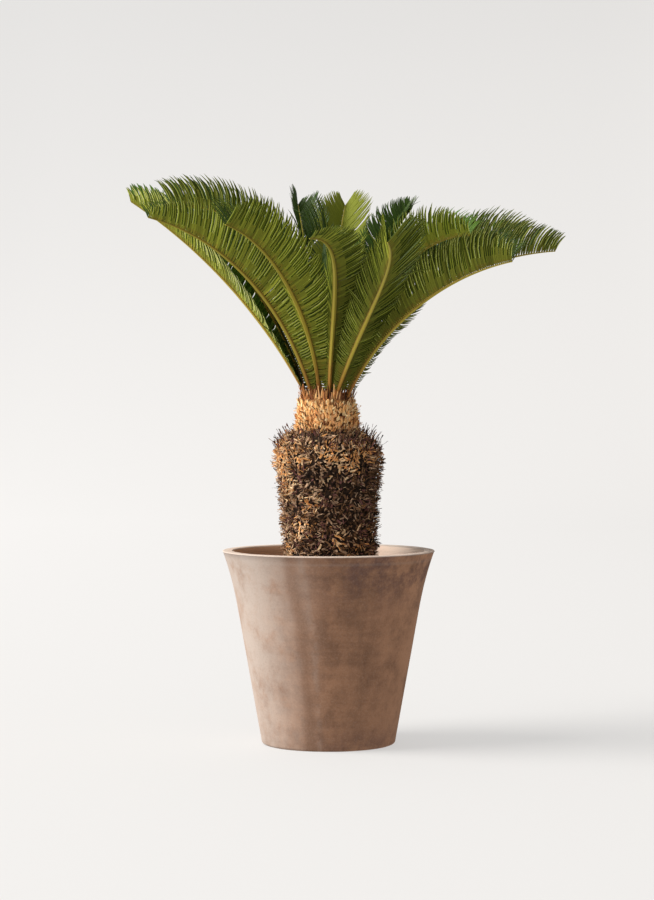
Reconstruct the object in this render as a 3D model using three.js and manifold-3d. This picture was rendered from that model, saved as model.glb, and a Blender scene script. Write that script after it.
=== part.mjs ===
// A sago palm growing in a tapered clay pot.
// Millimetres, +Z up. The origin is the centre of the pot's flat underside.

import * as THREE from 'three';
import Module from 'manifold-3d';

const wasm = await Module();
wasm.setup();

// ---------------------------------------------------------------- driving dimensions

const GAP = 0.3; // clearance between pieces that meet

// the pot: a straight taper that flares out under a flat lip
const POT_HEIGHT = 318.5;
const FOOT_RADIUS = 110.2; // the taper carried down to the ground
const FOOT_CHAMFER = 5;
const WALL_TAPER = 0.18; // outward millimetres for each millimetre of height
const THROAT_HEIGHT = 221; // where the flare begins
const FLARE = 8.1; // what the flare adds at the rim
const FLARE_POWER = 2.3;
const WALL = 13;
const LIP_WIDTH = 17;
const LIP_EDGE = 2;
const FLOOR_THICKNESS = 16;
const POT_SIDES = 40;
const FLARE_STEPS = 4;

const SOIL_LEVEL = 288;

// the trunk: a swollen old barrel, then a narrow neck of this year's growth
const BARREL_PROFILE = [
  [76, 288.3],
  [78, 320],
  [83, 380],
  [89, 433],
  [90, 475],
  [87, 504],
  [74, 517],
  [57, 522],
]; // radius, height
const NECK_PROFILE = [
  [53, 522.3],
  [52, 542],
  [48, 568],
]; // radius, height
const TRUNK_SIDES = 20;
const LEAN_FOOT = 4; // how far the trunk's axis stands to +X at the rim
const LEAN_TOP = -3; // and at the fronds' feet
const LEAN_TOP_HEIGHT = 571;

// a frond: its rib, and the row of leaflets on each side, as one thin folded blade
const SEAT_HEIGHT = 571;
const RIB_STEPS = 200; // fine steps along which a rib's bend is added up
const RIB_HALF_FOOT = 3.4;
const RIB_HALF_TIP = 1.2;
const BLADE_HALF_EDGE = 0.8;
const RIDGE = 0.75; // the blade's half thickness along its rib, as a share of the rib's
const BLADE_SETBACK = 1.2; // how far a blade's ends stay inside its rib's ends
// each frond is two pieces, parted at the middle of its bend, with sections at these shares
const LOWER_STATIONS = [0, 0.14, 0.3, 0.5];
const UPPER_STATIONS = [0.5, 0.68, 0.84, 0.94, 1];

// leaflets are short at the foot, full from the middle on, and shorter again at the tip
const LEAFLETS_FROM = 0.02; // share of the rib where they begin
const GROWN_OVER = 0.6; // share of the rib over which they reach full length
const GROWTH_POWER = 1.15;
const FOOT_LENGTH = 0.13; // the first leaflets, as a share of the longest
const SHRINK_OVER = 0.2; // share of the rib, before its tip, over which they shorten
const SHRINK_POWER = 0.7;
const TIP_LENGTH = 0.4; // the last leaflets, as a share of the longest

// along a rib from foot to tip: how far a leaflet leans out from the rib,
// and how far its row is folded up out of the flat
const LEAN_OUT = [[0, 88], [0.15, 78], [0.5, 62], [0.85, 55], [1, 30]];
const FOLD_UP = [[0, 14], [0.2, 28], [0.45, 46], [0.7, 54], [1, 58]];

// heading, rise at the foot, rise at the tip (degrees), lateness of the bend,
// sideways swing (degrees), rib length, seat radius, seat turn (degrees), leaflet length
const FRONDS = [
  [358, 68, 3, 0.95, -2, 443, 30, 10, 84],
  [16, 77, 2, 1.1, -2, 436, 38, 8, 80],
  [33, 70, 8, 1.1, 0, 420, 24, 7, 74],
  [52, 74, 37, 1.05, 2, 398, 28, 8, 58],
  [68, 70, 12, 1.1, 0, 420, 38, -12, 76],
  [82, 76, 30, 1, 2, 432, 24, 6, 64],
  [102, 74, 28, 1.1, -7, 440, 26, 10, 82],
  [120, 68, 12, 1.1, 4, 425, 37, -2, 80],
  [138, 78, 16, 1.2, 0, 430, 25, 4, 80],
  [155, 72, 22, 1.1, 0, 435, 37, -2, 80],
  [171, 63, 33, 0.95, 1, 438, 33, 2, 80],
  [189, 88, -8, 1.7, -2, 440, 22, 3, 74],
  [214, 70, 10, 1.15, 1, 440, 28, 0, 86],
  [241, 83, 6, 0.8, 4, 437, 24, 0, 92],
  [278, 76, -5, 1.05, -32, 437, 29, 0, 84],
  [296, 52, 10, 1.15, -37, 440, 34, 0, 84],
  [314, 59, 6, 0.8, -3, 434, 42, 12, 84],
  [328, 68, -4, 2.15, -5, 384, 24, 0, 62],
].map(([heading, rise, tipRise, bend, swing, length, seat, seatTurn, leaflet]) => (
  { heading, rise, tipRise, bend, swing, length, seat, seatTurn, leaflet }
));

// ---------------------------------------------------------------- materials

const clay = new THREE.MeshStandardMaterial({ color: 0x9c7a66, roughness: 0.9, metalness: 0 });
const earth = new THREE.MeshStandardMaterial({ color: 0x3b2a20, roughness: 1, metalness: 0 });
const oldBark = new THREE.MeshStandardMaterial({ color: 0x5a3c28, roughness: 0.95, metalness: 0 });
const newBark = new THREE.MeshStandardMaterial({ color: 0xb98252, roughness: 0.9, metalness: 0 });
const green = new THREE.MeshStandardMaterial({ color: 0x4f6b25, roughness: 0.5, metalness: 0 });

// ---------------------------------------------------------------- shared helpers

const radians = THREE.MathUtils.degToRad;

// read a value off a short table of [position, value] rows
function along(table, position) {
  const next = table.findIndex(([at]) => at >= position);
  if (next <= 0) {
    return table[0][1];
  }
  const [fromAt, fromValue] = table[next - 1];
  const [toAt, toValue] = table[next];
  return THREE.MathUtils.mapLinear(position, fromAt, toAt, fromValue, toValue);
}

// turn a [radius, height] profile about the Z axis
function turned(profile, sides) {
  const points = profile.map(([radius, height]) => new THREE.Vector2(radius, height));
  const geometry = new THREE.LatheGeometry(points, sides);
  geometry.rotateX(Math.PI / 2);
  return geometry;
}

function named(name, geometry, material) {
  const mesh = new THREE.Mesh(geometry, material);
  mesh.name = name;
  return mesh;
}

function evenLevels(from, to, steps) {
  return Array.from({ length: steps + 1 }, (_, step) => from + ((to - from) * step) / steps);
}

// ---------------------------------------------------------------- pot and soil

function flareAt(height) {
  const share = (height - THROAT_HEIGHT) / (POT_HEIGHT - THROAT_HEIGHT);
  return Math.max(0, share) ** FLARE_POWER;
}

function outerRadius(height) {
  return FOOT_RADIUS + WALL_TAPER * height + FLARE * flareAt(height);
}

function innerRadius(height) {
  return outerRadius(height) - WALL - (LIP_WIDTH - WALL) * flareAt(height);
}

function makePot() {
  const flare = evenLevels(THROAT_HEIGHT, POT_HEIGHT - LIP_EDGE, FLARE_STEPS);
  const outside = flare.map((height) => [outerRadius(height), height]);
  const inside = flare.map((height) => [innerRadius(height), height]).reverse();
  return turned([
    [0, 0],
    [outerRadius(0) - FOOT_CHAMFER, 0],
    [outerRadius(FOOT_CHAMFER), FOOT_CHAMFER],
    ...outside,
    [outerRadius(POT_HEIGHT) - LIP_EDGE, POT_HEIGHT],
    [innerRadius(POT_HEIGHT) + LIP_EDGE, POT_HEIGHT],
    ...inside,
    [innerRadius(FLOOR_THICKNESS), FLOOR_THICKNESS],
    [0, FLOOR_THICKNESS],
  ], POT_SIDES);
}

function makeSoil() {
  const flare = evenLevels(THROAT_HEIGHT, POT_HEIGHT - LIP_EDGE, FLARE_STEPS);
  const below = flare.filter((height) => height < SOIL_LEVEL);
  const levels = [FLOOR_THICKNESS + GAP, ...below, SOIL_LEVEL];
  const side = levels.map((height) => [innerRadius(height) - 2 * GAP, height]);
  return turned([[0, FLOOR_THICKNESS + GAP], ...side, [0, SOIL_LEVEL]], POT_SIDES);
}

// ---------------------------------------------------------------- trunk

function leanAt(height) {
  return THREE.MathUtils.mapLinear(height, POT_HEIGHT, LEAN_TOP_HEIGHT, LEAN_FOOT, LEAN_TOP);
}

function makeTrunkPiece(profile) {
  const [, foot] = profile[0];
  const [, top] = profile[profile.length - 1];
  const geometry = turned([[0, foot], ...profile, [0, top]], TRUNK_SIDES);
  const position = geometry.getAttribute('position');
  for (let i = 0; i < position.count; i += 1) {
    position.setX(i, position.getX(i) + leanAt(position.getZ(i)));
  }
  return geometry;
}

// ---------------------------------------------------------------- fronds

// the rib's points, from foot to tip, each with the frame that the leaflets grow in
function ribOf(frond) {
  const heading = radians(frond.heading);
  const seat = radians(frond.heading + frond.seatTurn);
  const step = frond.length / RIB_STEPS;
  const point = new THREE.Vector3(
    LEAN_TOP + frond.seat * Math.cos(seat),
    frond.seat * Math.sin(seat),
    SEAT_HEIGHT,
  );
  const rib = [];
  for (let i = 0; i <= RIB_STEPS; i += 1) {
    const share = i / RIB_STEPS;
    const rise = radians(frond.rise + (frond.tipRise - frond.rise) * share ** frond.bend);
    const turn = heading + radians(frond.swing) * share ** 2;
    const forward = new THREE.Vector3(
      Math.cos(rise) * Math.cos(turn),
      Math.cos(rise) * Math.sin(turn),
      Math.sin(rise),
    );
    if (i > 0) {
      const middle = forward.clone().add(rib[i - 1].forward);
      point.addScaledVector(middle, step / 2);
    }
    const left = new THREE.Vector3(-Math.sin(turn), Math.cos(turn), 0);
    const up = new THREE.Vector3().crossVectors(forward, left);
    rib.push({ point: point.clone(), forward, left, up });
  }
  return rib;
}

function leafletLength(frond, share) {
  const reached = THREE.MathUtils.clamp((share - LEAFLETS_FROM) / GROWN_OVER, 0, 1);
  const grown = Math.sin(reached * (Math.PI / 2)) ** GROWTH_POWER;
  const kept = Math.min(1, (1 - share) / SHRINK_OVER) ** SHRINK_POWER;
  const fromFoot = THREE.MathUtils.lerp(FOOT_LENGTH, 1, grown);
  const fromTip = THREE.MathUtils.lerp(TIP_LENGTH, 1, kept);
  return frond.leaflet * fromFoot * fromTip;
}

function leafletTip(frond, station, share, side, extra) {
  const leanOut = radians(along(LEAN_OUT, share));
  const foldUp = radians(along(FOLD_UP, share));
  const reach = leafletLength(frond, share) + extra;
  return station.point.clone()
    .addScaledVector(station.forward, reach * Math.cos(leanOut))
    .addScaledVector(station.left, side * reach * Math.sin(leanOut) * Math.cos(foldUp))
    .addScaledVector(station.up, reach * Math.sin(leanOut) * Math.sin(foldUp));
}

function ribHalf(share) {
  return THREE.MathUtils.lerp(RIB_HALF_FOOT, RIB_HALF_TIP, share);
}

// one section of the blade: rib underside, right edge, rib top, left edge
function bladeSection(frond, rib, share, extra) {
  const station = rib[Math.round(share * RIB_STEPS)];
  const thick = RIDGE * ribHalf(share) + extra;
  const edge = BLADE_HALF_EDGE + extra;
  const right = leafletTip(frond, station, share, -1, extra);
  const left = leafletTip(frond, station, share, 1, extra);
  const raised = (point, height) => point.clone().addScaledVector(station.up, height);
  return [
    raised(station.point, -thick),
    raised(right, -edge),
    raised(right, edge),
    raised(station.point, thick),
    raised(left, edge),
    raised(left, -edge),
  ];
}

function ribSection(frond, rib, share, extra) {
  const station = rib[Math.round(share * RIB_STEPS)];
  const half = ribHalf(share) + extra;
  const corner = (left, up) => station.point.clone()
    .addScaledVector(station.left, left * half)
    .addScaledVector(station.up, up * half);
  return [corner(-1, -1), corner(-1, 1), corner(1, 1), corner(1, -1)];
}

// Skin a row of like sections and close both ends; move the end sections out by `reach`.
// A section's first and middle corners are on the rib. Both skins of a wing are cut along
// the same diagonal, from the rib out to the next edge, so that they stay parallel.
function solidThrough(sections, forwards, reach) {
  const sides = sections[0].length;
  const last = sections.length - 1;
  const onRib = (corner) => corner % (sides / 2) === 0;
  sections[0].forEach((corner) => corner.addScaledVector(forwards[0], -reach));
  sections[last].forEach((corner) => corner.addScaledVector(forwards[last], reach));
  const triangles = [];
  for (let row = 0; row < last; row += 1) {
    for (let i = 0; i < sides; i += 1) {
      const a = row * sides + i;
      const b = row * sides + ((i + 1) % sides);
      if (onRib(i + 1)) {
        triangles.push(a, a + sides, b, b, a + sides, b + sides);
      } else {
        triangles.push(a, b + sides, b, a, a + sides, b + sides);
      }
    }
  }
  for (let i = 1; i < sides - 1; i += 1) {
    triangles.push(0, i, i + 1);
    triangles.push(last * sides, last * sides + i + 1, last * sides + i);
  }
  const vertProperties = new Float32Array(sections.flat().flatMap((corner) => corner.toArray()));
  const triVerts = new Uint32Array(triangles);
  return new wasm.Manifold(new wasm.Mesh({ numProp: 3, vertProperties, triVerts }));
}

// a solid along the rib, grown by `extra` all round and by `reach` at its two ends
function frondSolid(frond, rib, shares, section, extra, reach = extra) {
  const sections = shares.map((share) => section(frond, rib, share, extra));
  const forwards = shares.map((share) => rib[Math.round(share * RIB_STEPS)].forward);
  return solidThrough(sections, forwards, reach);
}

function largestPiece(solid) {
  return solid.decompose().reduce((best, piece) => (
    piece.volume() > best.volume() ? piece : best
  ));
}

function geometryOf(solid) {
  const mesh = solid.getMesh();
  const geometry = new THREE.BufferGeometry();
  geometry.setAttribute('position', new THREE.BufferAttribute(mesh.vertProperties, 3));
  geometry.setIndex(new THREE.BufferAttribute(mesh.triVerts, 1));
  return geometry;
}

// Neighbouring blades cross, as real fronds interleave. A blade gives way to every other
// rib and to the blades before it in the list.
function clearedBlade(grown, index, shares, reach) {
  const { frond, rib } = grown[index];
  const others = grown.filter((other, otherIndex) => otherIndex !== index);
  const before = grown.slice(0, index);
  const blade = frondSolid(frond, rib, shares, bladeSection, -GAP, reach);
  const clearOfRibs = others.reduce((rest, other) => rest.subtract(other.ribRoom), blade);
  return before.reduce((rest, other) => rest.subtract(other.bladeRoom), clearOfRibs);
}

// the ribs crowd together below the bend, so the lower piece is joined to its own again,
// and its last leaflets, which sweep forward, make way for the foot of the upper rib
function lowerPiece(grown, index) {
  const { frond, rib } = grown[index];
  const upperRib = frondSolid(frond, rib, UPPER_STATIONS, ribSection, GAP);
  const ownRib = frondSolid(frond, rib, LOWER_STATIONS, ribSection, -GAP, -2 * GAP);
  const blade = clearedBlade(grown, index, LOWER_STATIONS, -BLADE_SETBACK).subtract(upperRib);
  return largestPiece(blade.add(ownRib));
}

function upperPiece(grown, index) {
  return largestPiece(clearedBlade(grown, index, UPPER_STATIONS, -GAP));
}

function makeFronds() {
  const whole = [...LOWER_STATIONS, ...UPPER_STATIONS.slice(1)];
  const grown = FRONDS.map((frond) => {
    const rib = ribOf(frond);
    return {
      frond,
      rib,
      bladeRoom: frondSolid(frond, rib, whole, bladeSection, GAP),
      ribRoom: frondSolid(frond, rib, whole, ribSection, GAP),
    };
  });
  return grown.flatMap((entry, index) => {
    const label = `frond_${String(index + 1).padStart(2, '0')}`;
    return [
      named(`${label}_lower`, geometryOf(lowerPiece(grown, index)), green),
      named(`${label}_upper`, geometryOf(upperPiece(grown, index)), green),
    ];
  });
}

// ---------------------------------------------------------------- assembly

const palm = new THREE.Group();
palm.add(named('pot', makePot(), clay));
palm.add(named('soil', makeSoil(), earth));
palm.add(named('trunk_barrel', makeTrunkPiece(BARREL_PROFILE), oldBark));
palm.add(named('trunk_neck', makeTrunkPiece(NECK_PROFILE), newBark));
makeFronds().forEach((mesh) => palm.add(mesh));

export default palm;
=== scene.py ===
"""A sago palm in a clay pot: its visible surfaces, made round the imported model. Metres, +Z up."""

import math
from collections import namedtuple

import bpy
import numpy as np
from bpy.props import FloatProperty, FloatVectorProperty, IntProperty, PointerProperty
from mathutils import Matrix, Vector, noise


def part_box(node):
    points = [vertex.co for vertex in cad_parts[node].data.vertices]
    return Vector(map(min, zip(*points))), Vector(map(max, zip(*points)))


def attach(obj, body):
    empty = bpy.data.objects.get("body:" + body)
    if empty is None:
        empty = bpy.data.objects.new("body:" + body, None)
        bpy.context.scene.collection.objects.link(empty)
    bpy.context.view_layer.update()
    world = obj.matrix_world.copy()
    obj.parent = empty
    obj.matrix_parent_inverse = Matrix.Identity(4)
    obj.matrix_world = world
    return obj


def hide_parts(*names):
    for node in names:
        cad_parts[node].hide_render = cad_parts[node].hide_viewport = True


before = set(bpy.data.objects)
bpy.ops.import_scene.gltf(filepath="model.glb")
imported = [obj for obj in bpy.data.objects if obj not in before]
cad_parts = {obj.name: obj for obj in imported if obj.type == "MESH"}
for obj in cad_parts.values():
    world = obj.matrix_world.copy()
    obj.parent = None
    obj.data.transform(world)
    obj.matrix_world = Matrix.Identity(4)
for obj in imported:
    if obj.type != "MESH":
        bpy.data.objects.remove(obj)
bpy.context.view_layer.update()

bl_info = {
    "name": "Potted Sago Palm",
    "version": (1, 0, 0),
    "blender": (4, 5, 0),
    "location": "View3D > Sidebar > Sago Palm",
    "description": "Makes a sago palm in a clay pot, piece by piece",
    "category": "Add Mesh",
}

BODY = "root"
MM = 0.001

# ---------------------------------------------------------------- the plant's build

POT_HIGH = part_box("pot")[1]
SOIL_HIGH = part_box("soil")[1]
BARREL_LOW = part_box("trunk_barrel")[0]
NECK_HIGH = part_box("trunk_neck")[1]

WALL_TAPER = 0.18  # outward metres for each metre of height
FLARE_POWER = 2.3
FLOOR_THICKNESS = 16 * MM
FOOT_CHAMFER = 5 * MM
LIP_EDGE = 2 * MM  # radius of the lip's two edges
SOIL_CLEAR = 4 * MM  # the loose grains' distance from the edge of the soil
CORE_INSET = 8 * MM  # how deep the trunk's core lies under its loose fibres
NECK_INSET = 5 * MM
NECK_TOP, BRISTLES_TO = 0.043, 0.047  # the radius that the bracts stand in, and the bristles outside it
SCALES_AROUND = 62
ON_SHOULDER, BRISTLES = 0.62, 0.2  # share of the spikes on the shoulder, and of the bracts that are bristles
FIRST_LEAFLET, LAST_LEAFLET = 0.035, 0.996  # share of the rib
SOIL_SEED, BARREL_SEED, NECK_SEED, FROND_SEED = 11, 21, 31, 41
LEAF_SPIRAL = math.radians(137.508)  # from each old leaf to the next

# the trunk's body inside its loose fibres: radius, height
BARREL_OUTLINE = [
    (76, 288.3), (77.5, 320), (80, 380), (83.5, 425), (85.5, 440), (88, 455),
    (89.5, 467), (88, 479), (84.5, 490), (77, 501), (68, 509), (57, 517),
]
NECK_OUTLINE = [(54, 510), (53, 522), (51, 542), (47, 568)]
LEAN_FOOT = 2.5 * MM  # how far the trunk's axis stands to +X at the pot's rim
LEAN_TOP = -3 * MM  # and at the fronds' feet
SEAT_HEIGHT = 571 * MM

# a frond's course: degrees and millimetres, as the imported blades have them
Frond = namedtuple("Frond", "heading rise tip_rise bend swing length seat seat_turn leaflet tip_lean")
FRONDS = [
    Frond(358, 68, 3, 0.95, -2, 443, 30, 10, 84, 58),
    Frond(16, 77, 2, 1.1, -2, 436, 38, 8, 80, 45),
    Frond(33, 70, 8, 1.1, 0, 420, 24, 7, 74, 45),
    Frond(52, 74, 37, 1.05, 2, 398, 28, 8, 58, 40),
    Frond(68, 70, 12, 1.1, 0, 420, 38, -12, 76, 45),
    Frond(82, 76, 30, 1, 2, 432, 24, 6, 64, 40),
    Frond(102, 74, 28, 1.1, -7, 440, 26, 10, 82, 40),
    Frond(120, 68, 12, 1.1, 4, 425, 37, -2, 80, 45),
    Frond(138, 78, 16, 1.2, 0, 430, 25, 4, 80, 45),
    Frond(155, 72, 22, 1.1, 0, 435, 37, -2, 80, 45),
    Frond(171, 63, 33, 0.95, 1, 444, 33, 2, 80, 50),
    Frond(189, 88, -8, 1.7, -2, 440, 22, 3, 74, 66),
    Frond(214, 70, 10, 1.15, 1, 440, 28, 0, 86, 76),
    Frond(241, 83, 6, 0.8, 4, 437, 24, 0, 92, 74),
    Frond(278, 76, -5, 1.05, -32, 437, 29, 0, 84, 66),
    Frond(296, 52, 10, 1.15, -37, 440, 34, 0, 84, 84),
    Frond(314, 59, 6, 0.8, -3, 434, 42, 12, 84, 60),
    Frond(328, 68, -4, 2.15, -5, 384, 24, 0, 62, 80),
]
STOUT_RIBS = {13: 1.05, 14: 1.05, 15: 1.12, 16: 1.05}
RIB_STEPS = 200
RIB_HALF = [(0, 2.4), (0.1, 3.1), (0.35, 3.5), (0.6, 2.7), (0.85, 1.7), (1, 0.9)]  # share of the rib, mm
LEAFLETS_FROM, GROWN_OVER, GROWTH_POWER, FOOT_LENGTH = 0.02, 0.6, 1.15, 0.13
SHRINK_OVER, SHRINK_POWER, TIP_LENGTH = 0.2, 0.7, 0.4
LONG_TIPS = {12: 0.8, 16: 0.62}  # fronds whose last leaflets stay long
# how a wing lies along its rib, mostly as (share of the rib, value): how far its leaflets lean out and
# fold up in degrees, how long they are and how light, then how wide, louvred and stray they are, and
# whether they are young, which is pale above as well
Wing = namedtuple("Wing", "lean fold long tone wide louvre stray young")
LEAN_OUT = [(0, 88), (0.15, 78), (0.5, 64), (0.85, 60)]
FOLD_UP = [(0, 14), (0.2, 28), (0.45, 46), (0.7, 54), (1, 58)]
# wings that lie otherwise, by frond and side (1 is anticlockwise from above); their tones are painted light
# and shade, lighter on the fronds on the left and on frond 18's tip where light shines through, darker on
# the fronds on the right and at the back
OTHER_WINGS = {
    (1, 1): {"tone": [(0, 0.7)]},
    (1, -1): {"tone": [(0, 0.7)]},
    (6, 1): {"young": True, "tone": [(0, 0.45)]},
    (6, -1): {
        "fold": [(0, 14), (0.5, 38), (1, 44)],
        "long": [(0, 1.2)],
        "young": True,
        "tone": [(0, 0.35)],
    },
    (7, 1): {
        "fold": [(0, 40), (0.5, 72), (1, 80)],
        "lean": [*LEAN_OUT, (1, 56)],
        "long": [(0, 0.9), (0.9, 0.9), (1, 0.6)],
    },
    (7, -1): {"lean": [*LEAN_OUT, (1, 66)], "long": [(0, 0.85), (0.88, 0.85), (1, 0.45)]},
    (11, 1): {
        "fold": [(0, 20), (0.15, 22), (0.45, 24), (0.6, 32), (0.75, 44), (1, 56)],
        "long": [(0, 1), (0.85, 1), (1, 0.8)],
        "tone": [(0, 1.5)],
        "wide": 1.3,
        "louvre": 0.4,
        "stray": 0.5,
    },
    (11, -1): {
        "fold": [(0, 12), (0.2, 20), (0.45, 34), (0.7, 50), (1, 58)],
        "tone": [(0, 2.4)],
        "wide": 1.35,
        "louvre": -0.1,
        "stray": 0.3,
    },
    (13, 1): {
        "fold": [(0, 38), (0.2, 46), (0.45, 55), (0.7, 58), (1, 58)],
        "long": [(0, 0.9), (0.3, 1), (0.55, 1), (0.75, 0.82), (0.9, 0.64), (1, 0.6)],
        "tone": [(0, 1.25)],
    },
    (13, -1): {"long": [(0, 1), (0.55, 1), (0.9, 0.8), (1, 0.8)], "tone": [(0, 1.2)]},
    (14, 1): {"long": [(0, 1), (0.3, 0.9), (0.6, 0.84), (0.85, 0.9), (1, 1)], "tone": [(0, 1.2)]},
    (14, -1): {"long": [(0, 1), (0.4, 0.9), (1, 0.95)], "tone": [(0, 1.2)]},
    (15, 1): {
        "fold": [(0, 8), (0.2, 14), (0.45, 15), (0.7, 20), (1, 30)],
        "lean": [(0, 78), (0.15, 66), (0.5, 57), (0.85, 56), (1, 52)],
        "long": [(0, 0.76)],
        "tone": [(0, 0.5), (0.5, 0.6), (1, 1.1)],
    },
    (15, -1): {"fold": [(0, 66), (0.2, 78), (0.45, 84), (0.7, 84), (1, 80)], "tone": [(0, 0.6), (1, 1.1)]},
    (16, 1): {"fold": [(0, 10), (0.2, 18), (0.45, 30), (0.7, 42), (1, 58)], "tone": [(0, 0.5), (1, 0.9)]},
    (16, -1): {
        "fold": [(0, 44), (0.2, 58), (0.45, 72), (0.7, 80), (1, 84)],
        "long": [(0, 0.7), (0.6, 0.76), (0.9, 0.8), (1, 0.85)],
        "tone": [(0, 0.5), (1, 0.9)],
    },
    (17, 1): {
        "fold": [(0, 12), (0.2, 17), (0.38, 19), (0.46, 24), (0.56, 48), (0.7, 56), (1, 58)],
        "lean": [(0, 102), (0.3, 110), (0.46, 106), (0.58, 76), (0.7, 64), (1, 60)],
        "long": [(0, 1), (0.25, 0.8), (0.46, 0.68), (0.6, 1)],
        "tone": [(0, 0.5), (1, 0.75)],
        "wide": 0.75,
        "stray": 0.3,
    },
    (17, -1): {
        "fold": [(0, 48), (0.2, 60), (0.45, 68), (0.7, 68), (1, 64)],
        "long": [(0, 1), (0.3, 0.95), (0.5, 0.82), (0.7, 0.86), (0.9, 1)],
        "tone": [(0, 0.5), (1, 0.75)],
        "stray": 0.5,
    },
    (18, 1): {"long": [(0, 1.15), (0.7, 1.3), (1, 1.15)], "tone": [(0, 1), (0.5, 1.3), (1, 3)]},
    (18, -1): {"long": [(0, 1.15), (0.7, 1.3), (1, 1.15)], "tone": [(0, 1), (0.5, 1.3), (1, 3)]},
}

# ---------------------------------------------------------------- what a user may change


class PotSettings(bpy.types.PropertyGroup):
    sides: IntProperty(name="Sides", description="Faces round the pot", default=128, min=24)
    throat: FloatProperty(
        name="Throat Height", description="Where the flare begins", default=0.221, unit="LENGTH")
    flare: FloatProperty(
        name="Flare", description="What the flare adds at the rim", default=0.0081, unit="LENGTH")
    wall: FloatProperty(name="Wall", description="Thickness of the wall", default=0.013, unit="LENGTH")
    lip: FloatProperty(name="Lip Width", description="Width of the flat lip", default=0.017, unit="LENGTH")
    clay: FloatVectorProperty(
        name="Clay", description="Bare clay", subtype="COLOR", default=(0.39, 0.205, 0.118))
    wash: FloatVectorProperty(
        name="Wash", description="Brown wash", subtype="COLOR", default=(0.225, 0.118, 0.070))
    bloom: FloatVectorProperty(
        name="Bloom", description="Pale salt bloom", subtype="COLOR", default=(0.50, 0.415, 0.355))


class SoilSettings(bpy.types.PropertyGroup):
    granules: IntProperty(name="Granules", description="Loose grains on the soil", default=1500, min=0)
    granule: FloatProperty(
        name="Granule Size", description="Usual radius of a grain", default=0.0022, unit="LENGTH")
    colour: FloatVectorProperty(
        name="Soil", description="Damp soil", subtype="COLOR", default=(0.045, 0.028, 0.018))


class TrunkSettings(bpy.types.PropertyGroup):
    leaf_bases: IntProperty(name="Leaf Bases", description="Woody stubs of old leaves", default=3000, min=0)
    flakes: IntProperty(name="Flakes", description="Shreds of fibre on the barrel", default=6000, min=0)
    spikes: IntProperty(name="Spikes", description="Thin spines on the barrel", default=430, min=0)
    neck_rows: IntProperty(name="Neck Rows", description="Rows of scales on the neck", default=16, min=1)
    strands: IntProperty(name="Strands", description="Loose fibres on the neck", default=700, min=0)
    bracts: IntProperty(name="Bracts", description="Bracts round the fronds' feet", default=540, min=0)
    relief: FloatProperty(
        name="Relief", description="Depth of the core's bumps", default=0.006, unit="LENGTH")


class FrondSettings(bpy.types.PropertyGroup):
    leaflets: IntProperty(name="Leaflets", description="Leaflets on each side of a rib", default=102, min=8)
    half_width: FloatProperty(
        name="Half Width", description="Half width of a leaflet", default=0.0021, unit="LENGTH")
    bow: FloatProperty(
        name="Bow", description="How far leaflets bow towards the tip, by their length", default=0.24)
    louvre: FloatProperty(
        name="Louvre", description="How far each leaflet turns", default=0.24, subtype="ANGLE")
    upper: FloatVectorProperty(
        name="Upper Side", description="Glossy", subtype="COLOR", default=(0.038, 0.074, 0.009))
    under: FloatVectorProperty(
        name="Underside", description="Matte", subtype="COLOR", default=(0.31, 0.35, 0.040))
    # the underside's half nearer the foot, painted in shade
    shade: FloatVectorProperty(
        name="Fold", description="Half nearer the foot", subtype="COLOR", default=(0.066, 0.086, 0.009))
    # the underside's margin nearer the tip, a painted highlight
    margin: FloatVectorProperty(
        name="Margin", description="Edge nearer the tip", subtype="COLOR", default=(0.78, 0.82, 0.26))
    base: FloatVectorProperty(
        name="Base", description="Underside by the rib", subtype="COLOR", default=(0.23, 0.205, 0.026))
    fade: FloatVectorProperty(
        name="Fade", description="Where base meets green", subtype="COLOR", default=(0.22, 0.235, 0.028))


class StageSettings(bpy.types.PropertyGroup):
    paper: FloatVectorProperty(
        name="Paper", description="Floor and backdrop", subtype="COLOR", default=(0.24, 0.236, 0.232))
    glow: FloatVectorProperty(
        name="Glow", description="The paper's own light", subtype="COLOR", default=(0.535, 0.528, 0.519))
    key: FloatProperty(name="Key Light", description="Strength of the light from the left", default=4.2)
    soft: FloatProperty(
        name="Softness", description="Width of the light", default=math.radians(39), subtype="ANGLE")
    left_air: FloatProperty(name="Left Fill", description="Brightness of the air on the left", default=0.9)
    right_air: FloatProperty(name="Right Fill", description="Brightness on the right", default=0.30)


# ---------------------------------------------------------------- modelling by hand


def nothing_selected():
    bpy.ops.object.select_all(action="DESELECT")


def raised(sides, stations):
    """A filled ring, extruded and resized through each station: (x, y, z, half width, half depth)."""
    nothing_selected()
    x, y, z, wide, deep = stations[0]
    bpy.ops.mesh.primitive_circle_add(vertices=sides, radius=1, fill_type="NGON", location=(0, 0, 0))
    bpy.ops.object.mode_set(mode="EDIT")
    bpy.ops.mesh.select_all(action="SELECT")
    bpy.ops.transform.resize(value=(wide, deep, 1), center_override=(0, 0, 0))
    bpy.ops.transform.translate(value=(x, y, z))
    for to_x, to_y, to_z, to_wide, to_deep in stations[1:]:
        step = (to_x - x, to_y - y, to_z - z)
        growth = (to_wide / wide, to_deep / deep, 1)
        bpy.ops.mesh.extrude_region_move(TRANSFORM_OT_translate={"value": step})
        bpy.ops.transform.resize(value=growth, center_override=(to_x, to_y, to_z))
        x, y, z, wide, deep = to_x, to_y, to_z, to_wide, to_deep
    bpy.ops.mesh.select_all(action="SELECT")
    bpy.ops.mesh.normals_make_consistent(inside=False)
    bpy.ops.object.mode_set(mode="OBJECT")
    return bpy.context.object


def turned(sides, outline):
    """A body turned about Z through an outline of (radius, height)."""
    return raised(sides, [(0, 0, height, radius, radius) for radius, height in outline])


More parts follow.
